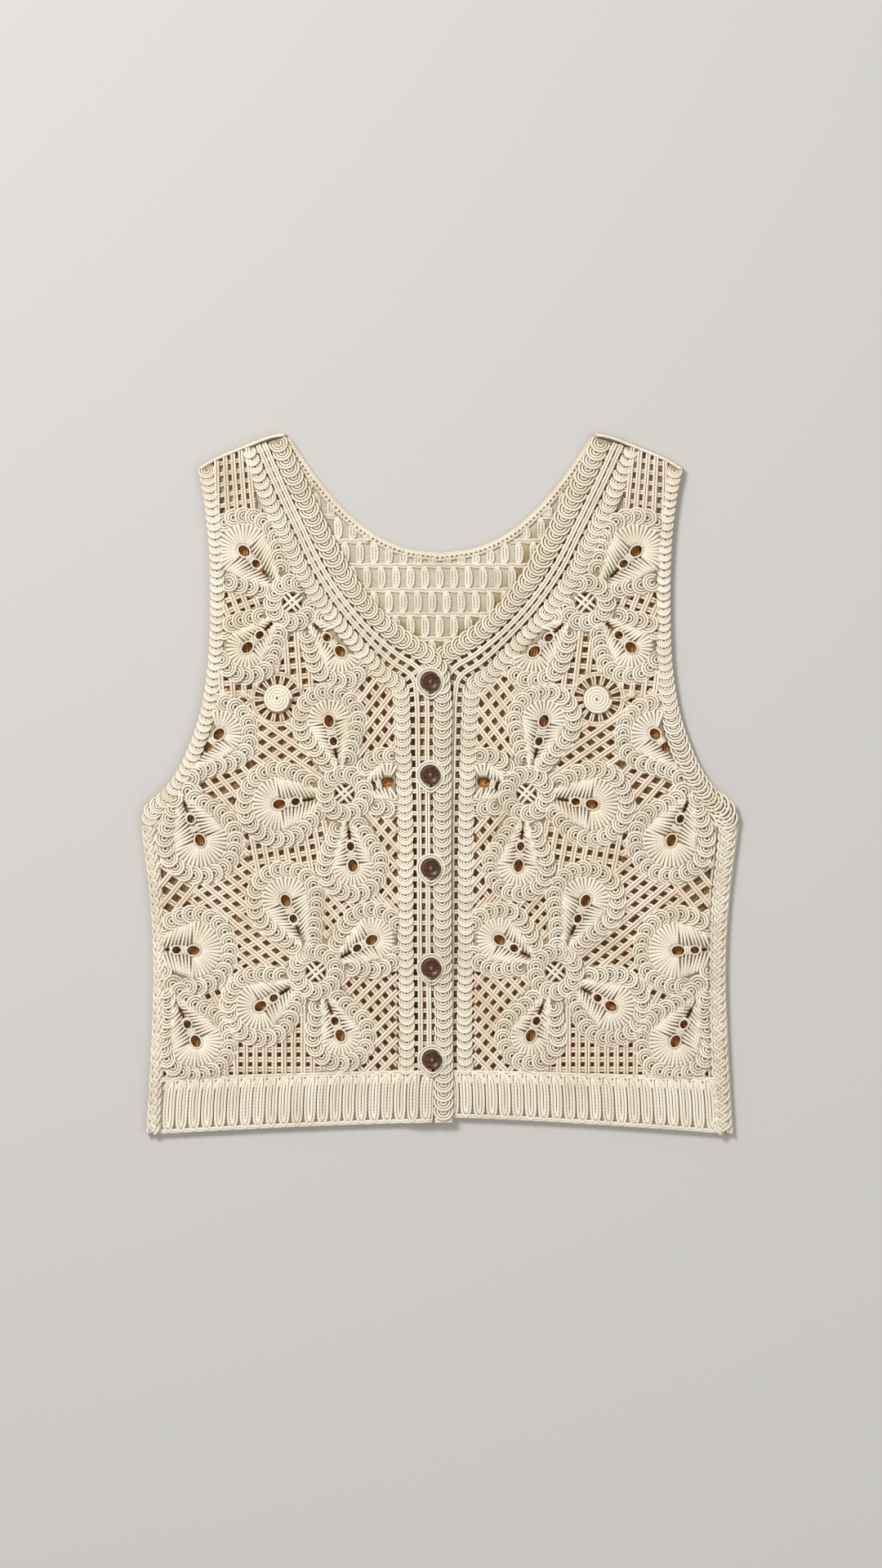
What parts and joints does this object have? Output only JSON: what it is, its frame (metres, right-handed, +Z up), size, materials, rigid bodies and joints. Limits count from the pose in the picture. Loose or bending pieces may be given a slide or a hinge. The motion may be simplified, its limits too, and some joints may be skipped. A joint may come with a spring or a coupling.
{
  "type": "crochet vest",
  "caption": "Sleeveless V-neck crocheted lace vest with raised flowers, ladder borders, a ribbed hem and a buttoned front, laid flat.",
  "frame": {"origin": "centre of the garment's box, on the surface that it lies on", "axes": "+Z up from the surface, +Y from the hem to the shoulders, +X across to the right as seen from above"},
  "size_m": [0.4618, 0.5424, 0.0143],
  "materials": {
    "cotton_yarn": "mercerised cotton yarn, crocheted, matt with a faint sheen",
    "cotton_back": "the same cotton yarn, shaded under the front layer",
    "horn_button": "polished horn-effect resin, mottled dark brown"
  },
  "bodies": {
    "root": {"back_panel": "cotton_back", "back_hem_band": "cotton_back", "back_neck_binding": "cotton_back", "side_band_left": "cotton_yarn", "shoulder_seam_left": "cotton_yarn", "armhole_tape_front_left": "cotton_yarn", "armhole_tape_back_left": "cotton_back", "hem_rib_left": "cotton_yarn", "edge_tape_left": "cotton_yarn", "ladder_border_left": "cotton_yarn", "front_panel_left": "cotton_yarn", "rosette_left": "cotton_yarn", "side_band_right": "cotton_yarn", "shoulder_seam_right": "cotton_yarn", "armhole_tape_front_right": "cotton_yarn", "armhole_tape_back_right": "cotton_back", "hem_rib_right": "cotton_yarn", "edge_tape_right": "cotton_yarn", "ladder_border_right": "cotton_yarn", "front_panel_right": "cotton_yarn", "rosette_right": "cotton_yarn", "button_1": "horn_button", "button_2": "horn_button", "button_3": "horn_button", "button_4": "horn_button", "button_5": "horn_button"}
  },
  "joints": []
}
